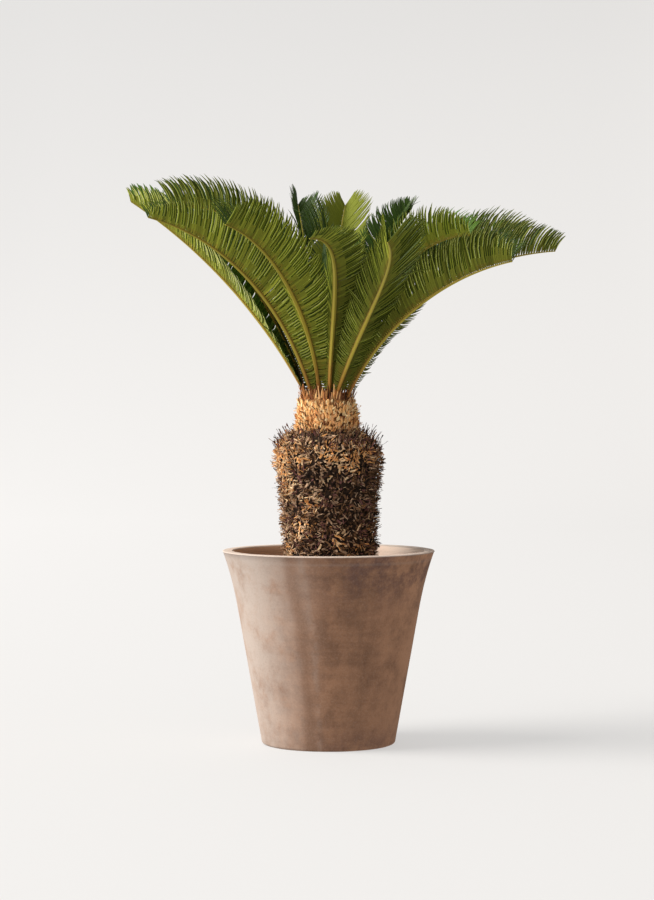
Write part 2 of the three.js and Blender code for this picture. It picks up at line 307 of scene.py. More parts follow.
def picked(piece, kind, wanted):
    """Selects a piece's points (VERT) or faces (FACE) that are wanted, and goes on in edit mode."""
    bpy.ops.object.mode_set(mode="EDIT")
    bpy.ops.mesh.select_mode(type=kind)
    bpy.ops.mesh.select_all(action="DESELECT")
    bpy.ops.object.mode_set(mode="OBJECT")
    for part in piece.data.vertices if kind == "VERT" else piece.data.polygons:
        part.select = wanted(part)
    bpy.ops.object.mode_set(mode="EDIT")


def moved_where(piece, wanted, step):
    """Moves the points of a piece for which wanted(co) is true, in edit mode."""
    picked(piece, "VERT", lambda point: wanted(point.co))
    bpy.ops.transform.translate(value=step)
    bpy.ops.object.mode_set(mode="OBJECT")


def roughened(piece, texture_kind, size, strength):
    """Pushes a piece's surface in and out by a solid texture, and applies it."""
    texture = bpy.data.textures.new(piece.name + "_relief", type=texture_kind)
    texture.noise_scale = size
    relief = piece.modifiers.new("relief", "DISPLACE")
    relief.texture = texture
    relief.texture_coords = "LOCAL"
    relief.strength = strength
    relief.mid_level = 0.5
    bpy.context.view_layer.objects.active = piece
    bpy.ops.object.modifier_apply(modifier="relief")


def smoothed(piece, degrees):
    nothing_selected()
    piece.select_set(True)
    bpy.context.view_layer.objects.active = piece
    bpy.ops.object.shade_smooth_by_angle(angle=math.radians(degrees))


def finished(piece, name, nodes, materials):
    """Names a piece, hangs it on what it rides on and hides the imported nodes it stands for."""
    piece.name = name
    piece.data.name = name
    piece.data.materials.clear()
    for material in materials:
        piece.data.materials.append(material)
    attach(piece, BODY)
    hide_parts(*nodes)


# ---------------------------------------------------------------- many small things as one mesh

Shape = namedtuple("Shape", "points faces")


def shape_of(piece):
    """A modelled piece's points and faces, as the pattern for its copies. The piece goes."""
    points = np.array([point.co for point in piece.data.vertices])
    faces = [tuple(face.vertices) for face in piece.data.polygons]
    bpy.data.objects.remove(piece)
    return Shape(points, faces)


def sprig(sides, *stations):
    """A small growing thing's pattern, one unit long, up Z: rings of (z, half width, half depth, lean)."""
    return shape_of(raised(sides, [(0, lean, z, wide, deep) for z, wide, deep, lean in stations]))


def unit(vectors):
    return vectors / np.linalg.norm(vectors, axis=1, keepdims=True)


def astray(rng, outward, out, stray, way=0):
    """Which way each small thing grows: outward by a random share, along its way, and a little astray."""
    count = len(outward)
    return outward * rng.uniform(*out, count)[:, None] + way + rng.normal(0, stray, (count, 3))


def planted(shape, places, growth, facing, width, depth, length, rng, ragged=0.0):
    """Copies of a shape, (count, points, 3): each grows along `growth`, with its back to `facing`."""
    growth = unit(growth)
    across = unit(np.cross(facing, growth))
    back = np.cross(growth, across)
    x, y, z = (shape.points[None, :, axis, None] for axis in range(3))
    width, depth, length = (size[:, None, None] for size in (width, depth, length))
    copies = places[:, None] + x * across[:, None] * width
    copies = copies + y * back[:, None] * depth + z * growth[:, None] * length
    uneven = rng.normal(0, 1, copies.shape) * (ragged * length) if ragged else 0
    return copies + uneven * z**2


def joined(name, shape, copies):
    """One mesh of all the copies of a shape."""
    count, size = copies.shape[:2]
    starts = range(0, count * size, size)
    faces = [tuple(corner + start for corner in face) for start in starts for face in shape.faces]
    mesh = bpy.data.meshes.new(name)
    mesh.from_pydata(copies.reshape(-1, 3).tolist(), [], faces)
    piece = bpy.data.objects.new(name, mesh)
    bpy.context.collection.objects.link(piece)
    return piece


def grown(name, nodes, materials, shape, copies, tones, smooth=None):
    """A finished piece of many copies. tones has a material's number for each copy, or each copy's face."""
    piece = joined(name, shape, copies)
    if smooth:
        smoothed(piece, smooth)
    finished(piece, name, nodes, materials)
    if tones.ndim == 1:
        tones = np.repeat(tones, len(shape.faces))
    piece.data.polygons.foreach_set("material_index", tones.reshape(-1).astype(np.int32))


# ---------------------------------------------------------------- finishes


def plain(name, colour, roughness, gloss=0.3):
    """An even colour, for things too small to show a pattern of their own."""
    material = bpy.data.materials.new(name)
    material.use_nodes = True
    shader = material.node_tree.nodes["Principled BSDF"]
    shader.inputs["Base Color"].default_value = (*colour, 1)
    shader.inputs["Roughness"].default_value = roughness
    shader.inputs["Specular IOR Level"].default_value = gloss
    return material


def tinted(colour, strength):
    """A colour made lighter or darker."""
    return tuple(part * strength for part in colour)


class Wiring:
    """A material's or the world's nodes: added by kind, and wired by naming what feeds each socket."""

    def __init__(self, owner, space):
        self.tree = owner.node_tree
        self.place = self.add("ShaderNodeTexCoord").outputs[space]

    def add(self, kind, feeds=(), **settings):
        node = self.tree.nodes.new(kind)
        for key, value in settings.items():
            setattr(node, key, value)
        for socket, source in dict(feeds).items():
            if isinstance(source, bpy.types.NodeSocket):
                self.tree.links.new(source, node.inputs[socket])
            else:
                node.inputs[socket].default_value = source
        return node

    def math(self, operation, first, second=0.0):
        return self.add("ShaderNodeMath", {0: first, 1: second}, operation=operation).outputs[0]

    def ramp(self, axis, start, stop, first, last):
        """A value that goes evenly from first to last along an axis."""
        part = self.add("ShaderNodeSeparateXYZ", {0: self.place}).outputs[axis]
        feeds = {"Value": part, "From Min": start, "From Max": stop, "To Min": first, "To Max": last}
        return self.add("ShaderNodeMapRange", feeds).outputs[0]


class Finish(Wiring):
    """A material being built."""

    def __init__(self, name, roughness, gloss=0.3, colour=(0.5, 0.5, 0.5)):
        self.material = plain(name, colour, roughness, gloss)
        self.shader = self.material.node_tree.nodes["Principled BSDF"]
        super().__init__(self.material, "Object")

    def noise(self, scale, detail=4.0, roughness=0.55, stretch=(1, 1, 1)):
        place = self.add("ShaderNodeMapping", {"Vector": self.place, "Scale": stretch}).outputs[0]
        feeds = {"Vector": place, "Scale": scale, "Detail": detail, "Roughness": roughness}
        return self.add("ShaderNodeTexNoise", feeds).outputs[0]

    def times(self, first, second):
        return self.math("MULTIPLY", first, second)

    def summed(self, *values):
        total = values[0]
        for value in values[1:]:
            total = self.math("ADD", total, value)
        return total

    def between(self, value, low, high):
        """Goes softly from 0 to 1 as a value goes from low to high."""
        feeds = {"Value": value, "From Min": low, "From Max": high}
        return self.add("ShaderNodeMapRange", feeds, interpolation_type="SMOOTHSTEP").outputs[0]

    def away(self, value, middle):
        return self.math("ABSOLUTE", self.math("SUBTRACT", value, middle))

    def near(self, value, middle, full, gone):
        """1 where a value is within `full` of the middle, going softly to 0 at `gone`."""
        return self.math("SUBTRACT", 1.0, self.between(self.away(value, middle), full, gone))

    def mixed(self, share, first, second):
        node = self.add("ShaderNodeMix", data_type="RGBA")
        for index, source in ((0, share), (6, first), (7, second)):
            if isinstance(source, bpy.types.NodeSocket):
                self.tree.links.new(source, node.inputs[index])
            else:
                node.inputs[index].default_value = (*source, 1)
        return node.outputs[2]

    def coated(self, colour, coat, share, strength):
        """A colour with a coat over it, where share says and as thick as strength says."""
        return self.mixed(self.times(share, strength), colour, coat)

    def done(self, colour, height, bump, distance):
        self.tree.links.new(colour, self.shader.inputs["Base Color"])
        normal = self.add("ShaderNodeBump", {"Height": height, "Strength": bump, "Distance": distance})
        self.tree.links.new(normal.outputs[0], self.shader.inputs["Normal"])
        return self.material


STAIN = (0.135, 0.074, 0.066)
PAINTED_LIT_LINING = (1.0, 0.80, 0.66)  # the right side of the lining, painted pale as painted light where light falls on it
PALE_SPECK = (0.75, 0.62, 0.52)
DARK_PIT = (0.06, 0.035, 0.022)
STAINS_FROM = 0.135  # the height that the stains keep away from
BAND_HEIGHT = 0.305
LINE_AT = 1.83  # where the dark line comes down, in radians from +X towards -Y
LINE_SLANT, LINE_WOBBLE, LIGHT_BESIDE = 0.30, 0.22, 0.13
INSIDE_SLOPE = 0.28  # of the surface that parts the pot's inside from its outside


def clay_finish(pot):
    """Terracotta under a brushed brown wash: soft blotches, long streaks and a pale salt bloom."""
    finish = Finish("washed_clay", 0.9, 0.15)
    times, between, noise_of = finish.times, finish.between, finish.noise
    across, deep, up = finish.add("ShaderNodeSeparateXYZ", {0: finish.place}).outputs
    around = finish.math("ARCTAN2", deep, across)
    wash, clay, bloom = (tuple(colour) for colour in (pot.wash, pot.clay, pot.bloom))
    blotch = noise_of(13, 6, 0.7)
    brushed = noise_of(40, 5, 0.65, (1, 1, 0.10))
    turning = noise_of(42, 5, 0.6, (0.2, 0.2, 2.2))
    mottle = noise_of(55, 6, 0.75)
    grain = noise_of(340, 3, 0.75)
    layers = ((blotch, 0.46), (brushed, 0.16), (turning, 0.16), (mottle, 0.22))
    cover = finish.summed(*(times(layer, weight) for layer, weight in layers))
    colour = finish.mixed(between(cover, 0.40, 0.61), wash, clay)
    # the wash is worn thin on the right and painted paler there as painted fill light, and stained under the
    # rim and by the foot there
    worn_and_painted_fill = times(between(across, 0.03, 0.15), between(blotch, 0.2, 0.6))
    colour = finish.mixed(worn_and_painted_fill, colour, tinted(clay, 1.5))
    stain = times(between(finish.away(up, STAINS_FROM), 0.07, 0.16), between(across, -0.06, 0.05))
    stain = times(stain, between(noise_of(19, 6, 0.72), 0.40, 0.60))
    colour = finish.coated(colour, STAIN, stain, 0.7)
    # the bloom lies on the pot's left side and thins out towards the front
    toward_left = between(times(across, -1.0), -0.01, 0.15)
    salt = times(toward_left, between(noise_of(24, 5, 0.65), 0.05, 0.60))
    colour = finish.mixed(salt, colour, bloom)
    # a dark line from rim to foot, with a light line beside it
    wobble = times(finish.math("SUBTRACT", noise_of(7, 3), 0.5), LINE_WOBBLE)
    offset = finish.summed(around, LINE_AT, wobble, times(up, LINE_SLANT))
    dark_line = finish.near(offset, 0, 0.01, 0.11)
    light_line = times(finish.near(offset, LIGHT_BESIDE, 0, 0.07), between(noise_of(30, 4, 0.7), 0.40, 0.60))
    colour = finish.coated(colour, wash, dark_line, 0.50)
    colour = finish.coated(colour, bloom, light_line, 0.17)
    # a faint pale band below the lip
    colour = finish.coated(colour, bloom, finish.near(up, BAND_HEIGHT, 0, 0.004), 0.13)
    # bare clay down the inside, painted pale on its right as painted light, and the flat lip's top worn pale
    # and painted lighter as a painted highlight
    radius = finish.math("SQRT", finish.summed(times(across, across), times(deep, deep)))
    parting = POT_HIGH.x - pot.lip / 2 - INSIDE_SLOPE * POT_HIGH.z
    middle = finish.summed(times(up, INSIDE_SLOPE), parting)
    inside = between(finish.math("SUBTRACT", middle, radius), -0.001, 0.001)
    lining_with_painted_light = finish.mixed(between(across, 0.0, 0.12), tinted(clay, 1.6), PAINTED_LIT_LINING)
    colour = finish.coated(colour, lining_with_painted_light, inside, 0.9)
    # the lip's top: worn pale, and painted lighter as a painted highlight where light falls on it
    lip = between(up, POT_HIGH.z - 0.0025, POT_HIGH.z - 0.0008)
    colour = finish.coated(colour, tinted(bloom, 1.15), lip, 0.85)
    colour = finish.coated(colour, PALE_SPECK, between(grain, 0.45, 0.72), 0.07)
    colour = finish.coated(colour, DARK_PIT, between(grain, 0.46, 0.28), 0.14)
    return finish.done(colour, finish.summed(times(grain, 0.35), times(turning, 0.8)), 0.3, 0.0012)


def mottled_finish(name, dark, light, scale, distance):
    """Two tones in blotches, with bumps finer than they are."""
    finish = Finish(name, 0.95, 0.15)
    colour = finish.mixed(finish.between(finish.noise(scale, 6, 0.68), 0.35, 0.65), dark, light)
    return finish.done(colour, finish.noise(scale * 3, 5, 0.7), 0.7, distance)


RIB_FOOT, RIB_KEEL = (0.36, 0.145, 0.028), (0.45, 0.355, 0.042)
RIB_TIP, RIB_MARGIN = (0.42, 0.365, 0.045), (0.19, 0.080, 0.012)


def rib_finish():
    """Orange-brown at the foot and along the margins, olive on the keel, greener to the tip."""
    finish = Finish("rib_skin", 0.5, 0.2)
    along = finish.add("ShaderNodeAttribute", attribute_name="along").outputs["Fac"]
    across = finish.add("ShaderNodeAttribute", attribute_name="across").outputs["Fac"]
    streak = finish.noise(160, 4, 0.6, (1, 1, 0.3))
    waver = finish.times(finish.math("SUBTRACT", streak, 0.5), 0.12)
    along = finish.summed(along, waver)
    colour = finish.mixed(finish.between(along, 0.0, 0.22), RIB_FOOT, RIB_KEEL)
    colour = finish.mixed(finish.between(along, 0.3, 1.0), colour, RIB_TIP)
    margin = finish.between(finish.summed(across, waver), 0.74, 0.98)
    return finish.done(finish.coated(colour, RIB_MARGIN, margin, 0.8), streak, 0.2, 0.0005)


OLD_BARK = {
    "bark_black": (0.026, 0.014, 0.007),
    "bark_dark": (0.090, 0.046, 0.022),
    "bark_brown": (0.25, 0.133, 0.066),
    "bark_purple": (0.20, 0.088, 0.074),
    "bark_grey": (0.54, 0.355, 0.225),
    "bark_orange": (0.86, 0.43, 0.155),
    "bark_straw": (0.84, 0.59, 0.335),
}
NEW_BARK = {
    "wool_umber": (0.060, 0.026, 0.012),
    "wool_red": (0.22, 0.080, 0.034),
    "wool_rust": (0.58, 0.25, 0.085),
    "wool_tan": (0.90, 0.51, 0.225),
    "wool_amber": (0.98, 0.57, 0.225),
    "wool_straw": (1.0, 0.75, 0.40),
}


def tones_of(palette, roughness=0.9):
    """A palette's plain materials, made once and shared by all the small pieces that use it."""
    made = bpy.data.materials
    return [made.get(name) or plain(name, colour, roughness, 0.15) for name, colour in palette.items()]


def dealt(rng, weights):
    """A tone's number for each row of weights."""
    weights = np.clip(weights, 0, None)
    edges = np.cumsum(weights / weights.sum(axis=1, keepdims=True), axis=1)
    return (rng.random(len(weights))[:, None] > edges).sum(axis=1).clip(0, weights.shape[1] - 1)


# ---------------------------------------------------------------- the trunk's surface


def outline_radius(outline, height):
    radii, heights = zip(*outline)
    return np.interp(height / MM, heights, radii) * MM


def axis_at(height):
    """How far the trunk's axis stands to +X at a height."""
    foot, top = POT_HIGH.z, SEAT_HEIGHT
    return LEAN_FOOT + (LEAN_TOP - LEAN_FOOT) * (height - foot) / (top - foot)


def on_trunk(angle, height, radius):
    """Points on the trunk, and the outward direction at each."""
    outward = np.stack([np.cos(angle), np.sin(angle), 0 * angle], 1)
    centre = np.stack([axis_at(height), 0 * height, height], 1)
    return centre + outward * radius[:, None], outward


def leaned(piece):
    """Leans a turned piece to follow the trunk's axis."""
    points = np.zeros(len(piece.data.vertices) * 3)
    piece.data.vertices.foreach_get("co", points)
    points = points.reshape(-1, 3)
    points[:, 0] += axis_at(points[:, 2])
    piece.data.vertices.foreach_set("co", points.reshape(-1))


def patchiness(places, scale, seed):
    """A smooth random value from about -1 to 1 at each place."""
    shift = Vector((seed * 3.1, seed * 1.7, seed * 2.3))
    return np.array([noise.noise(Vector(place) * scale + shift) for place in places]) * 1.6


# warm clumps of fibre on the barrel: angle in degrees, height and spread in metres, strength
WARM_CLUMPS = [
    (195, 0.480, 0.022, 2.0), (214, 0.470, 0.018, 1.9), (233, 0.478, 0.016, 1.7), (272, 0.482, 0.015, 1.8),
    (285, 0.472, 0.015, 1.7), (300, 0.464, 0.012, 1.0), (318, 0.484, 0.018, 0.9), (250, 0.401, 0.010, 1.0),
    (308, 0.329, 0.009, 1.0), (281, 0.337, 0.008, 1.4), (207, 0.325, 0.009, 1.2), (214, 0.430, 0.016, 0.6),
    (232, 0.355, 0.014, 0.5), (20, 0.482, 0.020, 1.0), (70, 0.478, 0.020, 1.2), (120, 0.484, 0.020, 1.2),
    (160, 0.478, 0.020, 1.2), (95, 0.410, 0.012, 0.9), (40, 0.350, 0.010, 0.9),
]


def warmth(places):
    """How far each place lies in a warm clump."""
    amount = np.zeros(len(places))
    for degrees, height, spread, strength in WARM_CLUMPS:
        radius = float(outline_radius(BARREL_OUTLINE, height))
        turn = math.radians(degrees)
        centre = (axis_at(height) + radius * math.cos(turn), radius * math.sin(turn), height)
        away = np.linalg.norm(places - np.array(centre), axis=1)
        amount += strength * np.exp(-((away / spread) ** 2))
    return np.clip(amount, 0, 1.6)


TUFT_STAND, TUFT_SET_IN = 2.4, 0.6  # how far tufts stand out in mm, and how far all of them are set in


def tuft_stand(places):
    """How far the tuft of fibre at each place stands out, from about -1 to 1."""
    return patchiness(places, 75, 3)


def in_tufts(angle, height, radius):
    """Places on the trunk moved with their tufts, the outward direction, and the way each is combed."""
    places, outward = on_trunk(angle, height, radius)
    step = TUFT_STAND * tuft_stand(places) - TUFT_SET_IN
    comb = np.stack([patchiness(places, 62, seed) for seed in (4, 5, 6)], 1)
    return places + outward * step[:, None] * MM, outward, comb


SHOULDER_FROM, SHOULDER_OVER = 0.486, 0.012  # where the barrel turns purplish and fibrous, and over what
SIDE_SHADE_OVER = 0.07


def barrel_weights(places):
    """How often each bark tone comes at each place on the barrel."""
    warm = warmth(places)
    patch = patchiness(places, 55, 1)
    purple = patchiness(places, 62, 2)
    # tufts that stand out are dealt lighter tones as painted light, and sunk ones darker as painted shade in
    # the hollows
    stand = np.clip(tuft_stand(places), -1, 1)
    high = np.clip((places[:, 2] - SHOULDER_FROM) / SHOULDER_OVER, 0, 1)
    # painted light on the left, and painted shade on the right
    left = np.clip((axis_at(places[:, 2]) - places[:, 0]) / SIDE_SHADE_OVER, -1, 1)
    return np.stack([
        (1.0 - 0.2 * high - 0.5 * warm) * (1 - 0.6 * left) * (1 - 0.8 * stand),
        (1.9 - 0.9 * patch - 1.2 * warm) * (1 - 0.5 * left) * (1 - 0.5 * stand),
        2.4 + 0.5 * patch,
        1.2 + 1.6 * high + 2.2 * purple,
        (2.4 + 2.0 * patch + 0.9 * high + 2.0 * warm) * (1 + 0.7 * left) * (1 + 0.35 * stand),
        (0.10 + 0.2 * patch + 22.0 * warm) * (1 + 0.3 * left),
        (0.40 + 0.4 * patch + 0.7 * high + 18.0 * warm) * (1 + 0.8 * left) * (1 + 0.35 * stand),
    ], 1)


# ---------------------------------------------------------------- the fronds' course


def frond_course(frond):
    """A rib's points from foot to tip, and at each the frame that the leaflets grow in."""
    share = np.linspace(0, 1, RIB_STEPS + 1)
    climb = np.radians(frond.rise + (frond.tip_rise - frond.rise) * share**frond.bend)
    turn = np.radians(frond.heading + frond.swing * share**2)
    forward = np.stack([np.cos(climb) * np.cos(turn), np.cos(climb) * np.sin(turn), np.sin(climb)], 1)
    left = np.stack([-np.sin(turn), np.cos(turn), 0 * turn], 1)
    seat_at = math.radians(frond.heading + frond.seat_turn)
    seat = frond.seat * MM
    foot = np.array([LEAN_TOP + seat * math.cos(seat_at), seat * math.sin(seat_at), SEAT_HEIGHT])
    steps = (forward[1:] + forward[:-1]) / 2 * (frond.length * MM / RIB_STEPS)
    points = np.vstack([foot, foot + np.cumsum(steps, axis=0)])
    up = np.cross(forward, left)
    return {"share": share, "point": points, "forward": forward, "left": left, "up": up}


def along_course(course, key, share):
    return np.stack([np.interp(share, course["share"], course[key][:, axis]) for axis in range(3)], 1)


def leaflet_lengths(number, share):
    reached = np.clip((share - LEAFLETS_FROM) / GROWN_OVER, 0, 1)
    rise = np.sin(reached * math.pi / 2) ** GROWTH_POWER
    kept = np.clip((1 - share) / SHRINK_OVER, 0, 1) ** SHRINK_POWER
    tip = LONG_TIPS.get(number, TIP_LENGTH)
    from_foot = FOOT_LENGTH + (1 - FOOT_LENGTH) * rise
    from_tip = tip + (1 - tip) * kept
    return FRONDS[number - 1].leaflet * MM * from_foot * from_tip


def looked_up(table, share):
    places, values = zip(*table)
    return np.interp(share, places, values)


def rib_half(number, share):
    return looked_up(RIB_HALF, share) * MM * STOUT_RIBS.get(number, 0.9)


def wing_of(number, side):
    usual = Wing([*LEAN_OUT, (1, FRONDS[number - 1].tip_lean)], FOLD_UP, [(0, 1)], [(0, 1)], 1, 1, 1, False)
    return usual._replace(**OTHER_WINGS.get((number, side), {}))


def wavering(rng, share, size, waves):
    """A random value that changes smoothly along a rib."""
    return np.interp(share * waves, np.arange(waves + 1), rng.normal(0, size, waves + 1))


# ---------------------------------------------------------------- the pieces


class PALM_OT_pot(bpy.types.Operator):
    """Make the tapered clay pot with its flared, flat lip"""

    bl_idname = "palm.pot"
    bl_label = "Pot"

    def execute(self, context):
        pot = context.scene.palm_pot
        height = POT_HIGH.z
        foot = POT_HIGH.x - WALL_TAPER * height - pot.flare

        def flare(z):
            return max(0.0, (z - pot.throat) / (height - pot.throat)) ** FLARE_POWER

        def outer(z):
            return foot + WALL_TAPER * z + pot.flare * flare(z)

        def inner(z):
            return outer(z) - pot.wall - (pot.lip - pot.wall) * flare(z)

        def rounded(x, z, radius, start, stop):
            turns = np.radians(np.linspace(start, stop, 5))
            return [(x + radius * math.cos(turn), z + radius * math.sin(turn)) for turn in turns]

        edge = height - LIP_EDGE
        walls = [*np.linspace(FOOT_CHAMFER, pot.throat, 14), *np.linspace(pot.throat, edge, 12)[1:]]
        outline = [(outer(0) - FOOT_CHAMFER, 0)]
        outline += rounded(outer(FOOT_CHAMFER) - FOOT_CHAMFER, FOOT_CHAMFER, FOOT_CHAMFER, -75, -5)
        outline += [(outer(z), z) for z in walls[1:]]
        outline += rounded(outer(height) - LIP_EDGE, edge, LIP_EDGE, 15, 90)
        outline += rounded(inner(height) + LIP_EDGE, edge, LIP_EDGE, 90, 165)
        outline += [(inner(z), z) for z in reversed(walls[2:])]
        outline += [(inner(FLOOR_THICKNESS), FLOOR_THICKNESS)]
        piece = turned(pot.sides, outline)
        foot_ring = [point.index for point in piece.data.vertices if point.co.z < 1e-6]
        roughened(piece, "CLOUDS", 0.06, 0.0006)
        # the foot stays flat on the ground, and nothing goes under it
        for point in piece.data.vertices:
            point.co.z = max(point.co.z, 0.0001)
        for index in foot_ring:
            piece.data.vertices[index].co.z = 0
        smoothed(piece, 40)
        finished(piece, "clay_pot", ["pot"], [clay_finish(pot)])
        return {"FINISHED"}


GRAINS = {  # how often each kind of grain comes, and its shade against the soil
    "grain_black": (5.0, (0.5, 0.5, 0.5)),
    "grain_brown": (3.0, (1.5, 1.5, 1.5)),
    "grain_tan": (1.4, (3.2, 3.0, 2.8)),
    "grain_pale": (0.7, (6.0, 5.8, 5.4)),
}


class PALM_OT_soil(bpy.types.Operator):
    """Make the potting soil and the loose grains on it"""

    bl_idname = "palm.soil"
    bl_label = "Soil"

    def execute(self, context):
        soil = context.scene.palm_soil
        rng = np.random.default_rng(SOIL_SEED)
        level, edge = SOIL_HIGH.z, SOIL_HIGH.x
        side = ((0.014, 0.045), (0.007, 0.025), (0.001, 0.003))  # in from the edge, down from the level
        outline = [(edge - inset, level - depth) for inset, depth in side]
        outline += [(edge * share, level - 0.0015) for share in np.linspace(0.97, 0.04, 26)]
        piece = turned(96, outline)
        roughened(piece, "CLOUDS", 0.012, 0.004)
        smoothed(piece, 60)
        earth = tuple(soil.colour)
        damp = mottled_finish("damp_soil", tinted(earth, 0.5), tinted(earth, 2.0), 90, 0.002)
        finished(piece, "soil_bed", ["soil"], [damp])
        nothing_selected()
        bpy.ops.mesh.primitive_ico_sphere_add(subdivisions=1, radius=1)
        grain = shape_of(bpy.context.object)
        count = soil.granules
        radius = (edge - SOIL_CLEAR) * np.sqrt(rng.random(count))
        turn = rng.uniform(0, 2 * math.pi, count)
        height = level - 0.0006 + 0.0016 * rng.random(count)
        places = np.stack([radius * np.cos(turn), radius * np.sin(turn), height], 1)
        size = soil.granule * rng.lognormal(0, 0.35, count)
        growth = rng.normal(0, 1, (count, 3))
        facing = rng.normal(0, 1, (count, 3))
        flat = rng.uniform(0.45, 0.9, count)
        copies = planted(grain, places, growth, facing, size, size * flat, size, rng)
        tones = dealt(rng, np.tile([often for often, _ in GRAINS.values()], (count, 1)))
        palette = {name: tuple(a * b for a, b in zip(earth, shade)) for name, (_, shade) in GRAINS.items()}
        grown("soil_grains", ["soil"], tones_of(palette, 0.95), grain, copies, tones)
        return {"FINISHED"}


class PALM_OT_barrel(bpy.types.Operator):
    """Make the old trunk: a rough core, the stubs of old leaves, shreds of fibre and thin spikes"""

    bl_idname = "palm.barrel"
    bl_label = "Old Trunk"

    def execute(self, context):
        trunk = context.scene.palm_trunk
        rng = np.random.default_rng(BARREL_SEED)
        low, high = BARREL_LOW.z, BARREL_OUTLINE[-1][1] * MM
        levels = np.linspace(low + 0.001, high - 0.001, 52)
        outline = [(float(outline_radius(BARREL_OUTLINE, z)) - CORE_INSET, float(z)) for z in levels]
        piece = turned(72, outline)
        leaned(piece)
        roughened(piece, "VORONOI", 0.009, trunk.relief)
        core = mottled_finish("bark_core", (0.012, 0.007, 0.005), (0.06, 0.036, 0.024), 130, 0.003)
        finished(piece, "trunk_core", ["trunk_barrel"], [core])
        self.add_leaf_bases(trunk.leaf_bases, rng, low, high)
        self.add_flakes(trunk.flakes, rng, low, high)
        self.add_spikes(trunk.spikes, rng, low, high)
        return {"FINISHED"}

    def bark(self, name, shape, copies, tones):
        grown(name, ["trunk_barrel"], tones_of(OLD_BARK), shape, copies, tones)

    def add_leaf_bases(self, count, rng, low, high):
        """Flat, curled stubs in the spiral that the leaves grew in, with torn ends."""
        stub = sprig(6, (-0.2, 0.9, 1, 0), (0.3, 1, 0.9, 0.1), (0.7, 0.8, 0.6, 0.6), (1, 0.35, 0.3, 1.7))
        number = np.arange(count)
        height = low + (high - low - 0.004) * (number + 0.5) / count + rng.normal(0, 0.0012, count)
        angle = number * LEAF_SPIRAL + rng.normal(0, 0.05, count)
        radius = outline_radius(BARREL_OUTLINE, height) - CORE_INSET * rng.uniform(0.45, 0.9, count)
        places, outward, comb = in_tufts(angle, height, radius)
        growth = astray(rng, outward, (0.1, 0.5), 0.4, comb * 1.2)
        growth[:, 2] += rng.uniform(-0.1, 0.7, count)
        width = rng.uniform(0.8, 2.1, count) * MM
        depth = width * rng.uniform(0.4, 0.7, count)
        length = rng.uniform(5, 10, count) * MM
        copies = planted(stub, places, growth, outward, width, depth, length, rng, 0.09)
        self.bark("leaf_bases", stub, copies, dealt(rng, barrel_weights(places)))

    def add_flakes(self, count, rng, low, high):
        """Curled shreds that stand up and out of the gaps."""
        shred = sprig(4, (0, 0.8, 1, 0), (0.35, 1, 0.8, 1.0), (0.7, 0.75, 0.6, 3.4), (1, 0.2, 0.3, 7.5))
        height = low + (high - low) * rng.random(count) ** 0.92
        angle = rng.uniform(0, 2 * math.pi, count)
        radius = outline_radius(BARREL_OUTLINE, height) - rng.uniform(0.5, 5.0, count) * MM
        places, outward, comb = in_tufts(angle, height, radius)
        growth = astray(rng, outward, (-0.1, 0.4), 0.4, comb * 1.1)
        growth[:, 2] += rng.uniform(-0.2, 0.5, count)
        width = rng.uniform(0.35, 1.0, count) * MM
        length = rng.uniform(4, 9.5, count) * MM
        copies = planted(shred, places, growth, outward, width, width * 0.35, length, rng, 0.06)
        self.bark("bark_flakes", shred, copies, dealt(rng, barrel_weights(places)))

    def add_spikes(self, count, rng, low, high):
        """Thin dark spines, thickest on the shoulder."""
        spine = sprig(4, (0, 1, 1, 0), (0.5, 0.6, 0.6, 0.6), (1, 0.08, 0.08, 2.2))
        shoulder = rng.random(count) < ON_SHOULDER

        def ranged(on_shoulder, elsewhere):
            return np.where(shoulder, rng.uniform(*on_shoulder, count), rng.uniform(*elsewhere, count))

        height = ranged((0.474, high - 0.006), (low + 0.03, 0.48))
        angle = rng.uniform(0, 2 * math.pi, count)
        radius = outline_radius(BARREL_OUTLINE, height) - 4 * MM
        places, outward = on_trunk(angle, height, radius)
        lift = ranged((1.0, 4.0), (0.2, 1.6))
        growth = outward + np.array([0, 0, 1.0]) * lift[:, None] + rng.normal(0, 0.3, (count, 3))
        width = rng.uniform(0.4, 0.8, count) * MM
        length = ranged((10, 24), (6, 15)) * MM
        copies = planted(spine, places, growth, outward, width, width, length, rng, 0.03)
        tones = dealt(rng, np.tile([2.5, 3, 2, 3, 0.8, 0.2, 0.1], (count, 1)))
        self.bark("trunk_spikes", spine, copies, tones)


